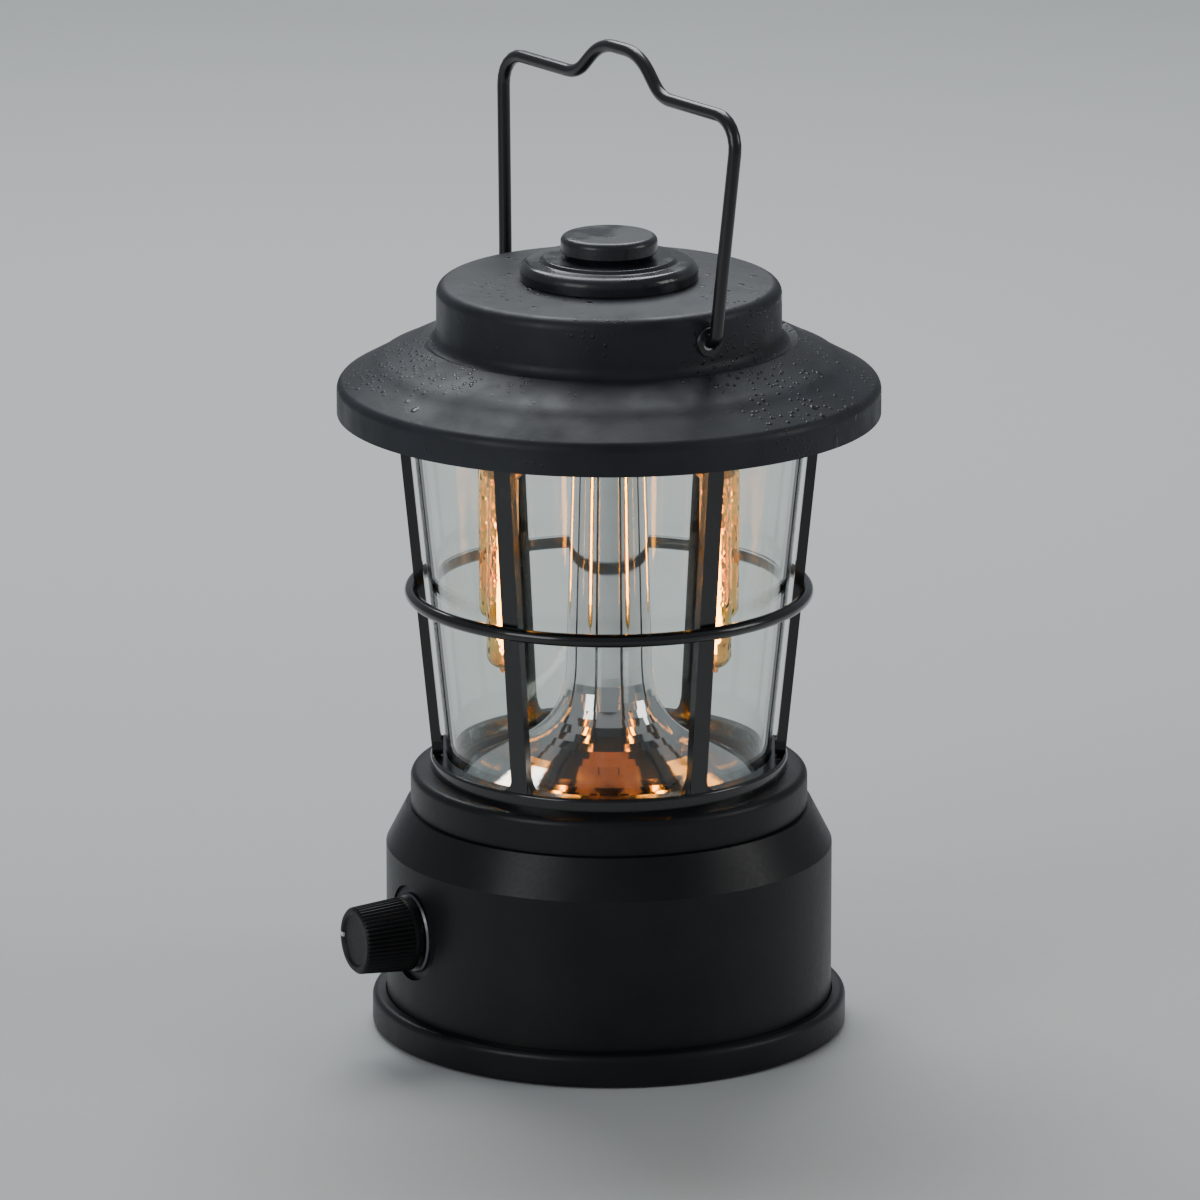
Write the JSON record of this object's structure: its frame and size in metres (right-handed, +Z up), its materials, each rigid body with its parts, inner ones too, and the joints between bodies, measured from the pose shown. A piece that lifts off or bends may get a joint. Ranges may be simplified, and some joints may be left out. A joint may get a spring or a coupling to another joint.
{
  "type": "camping lantern",
  "caption": "Retro battery camping lantern: round base with side dimmer, caged glass chimney, trumpet reflector, hanging filament lamps, brimmed hat and folding wire bail.",
  "frame": {"origin": "centre of the flat underside of the base", "axes": "+Z up through the lantern's axis; -Y is the front; the dimmer knob points along -X; the charging port faces +Y; the bail swings about Y"},
  "size_m": [0.1272, 0.124, 0.2299],
  "materials": {
    "rubber": "matt moulded rubber",
    "base_black": "satin moulded ABS",
    "knob_black": "satin, splined",
    "steel": "zinc-plated",
    "black_screw": "black oxide",
    "inner_plastic": "matt",
    "cell_wrap": "shrink sleeve",
    "nickel": "nickel-plated",
    "circuit_board": "green solder mask",
    "chip_black": "moulded epoxy",
    "copper": "enamelled copper winding",
    "connector_ivory": "nylon",
    "pot_metal": "pressed can",
    "wire_red": "PVC insulation",
    "bezel_grey": "dark satin",
    "pointer_white": "paint-filled mark",
    "cage_black": "gloss enamel",
    "clear_glass": "clear, faint green edge",
    "chrome": "vacuum-metallised mirror",
    "amber_plate": "translucent amber-brown",
    "holder_black": "matt heat-resistant nylon",
    "amber_glass": "amber tint with fine seeds",
    "filament": "phosphor-coated, lit",
    "cap_brass": "plated lamp cap",
    "hat_black": "fine-textured powder coat",
    "hat_gloss": "smooth semi-gloss enamel",
    "bushing_black": "acetal",
    "bail_black": "satin enamel on steel wire"
  },
  "bodies": {
    "root": {"rubber_foot": "rubber", "base_cover": "base_black", "base_screws": "steel", "base_shell": "base_black", "collar_ring": "base_black", "battery_holder": "inner_plastic", "battery_cell_left": "cell_wrap", "battery_cell_right": "cell_wrap", "nickel_strips": "nickel", "driver_board": "circuit_board", "driver_chips": "chip_black", "choke_coil": "copper", "lamp_connector": "connector_ivory", "usb_port": "nickel", "dimmer_pot": "pot_metal", "pot_leads": "wire_red", "pot_nut": "steel", "knob_bezel": "bezel_grey", "port_cover_pin": "steel", "cage_frame": "cage_black", "cage_hoop": "cage_black", "cage_foot_screws": "steel", "cage_head_screws": "steel", "glass_chimney": "clear_glass", "lower_gasket": "rubber", "upper_gasket": "rubber", "reflector": "chrome", "lamp_holder": "holder_black", "amber_plate": "amber_plate", "lamp_board": "circuit_board", "lamp_leads": "wire_red", "lamp_glass_1": "amber_glass", "lamp_glass_2": "amber_glass", "lamp_glass_3": "amber_glass", "lamp_glass_4": "amber_glass", "filament_1": "filament", "filament_2": "filament", "filament_3": "filament", "filament_4": "filament", "lamp_cap_1": "cap_brass", "lamp_cap_2": "cap_brass", "lamp_cap_3": "cap_brass", "lamp_cap_4": "cap_brass", "hat_liner": "cage_black", "hat_screws": "black_screw", "hat_shell": "hat_black", "hat_tier": "hat_gloss", "hat_finial": "hat_gloss", "finial_stud": "steel", "finial_nut": "steel", "bail_bushings": "bushing_black"},
    "bail": {"bail_handle": "bail_black", "bail_ferrules": "steel"},
    "dimmer": {"dimmer_shaft": "steel", "dimmer_knob": "knob_black", "knob_pointer": "pointer_white"},
    "port_flap": {"port_cover": "rubber"}
  },
  "joints": [
    {"name": "bail_fold", "type": "hinge", "parent": "root", "child": "bail", "pos_m": [0, 0, 0.1685], "axis": [-0.1392, 0.9903, 0], "range_deg": [-100, 94]},
    {"name": "dimmer_turn", "type": "hinge", "parent": "root", "child": "dimmer", "pos_m": [-0.0521, 0, 0.0275], "axis": [1, 0, 0], "range_deg": [-60, 240]},
    {"name": "port_flap_swing", "type": "hinge", "parent": "root", "child": "port_flap", "pos_m": [-0.0109, 0.0499, 0.03125], "axis": [0, 0, 1], "range_deg": [0, 120]}
  ]
}
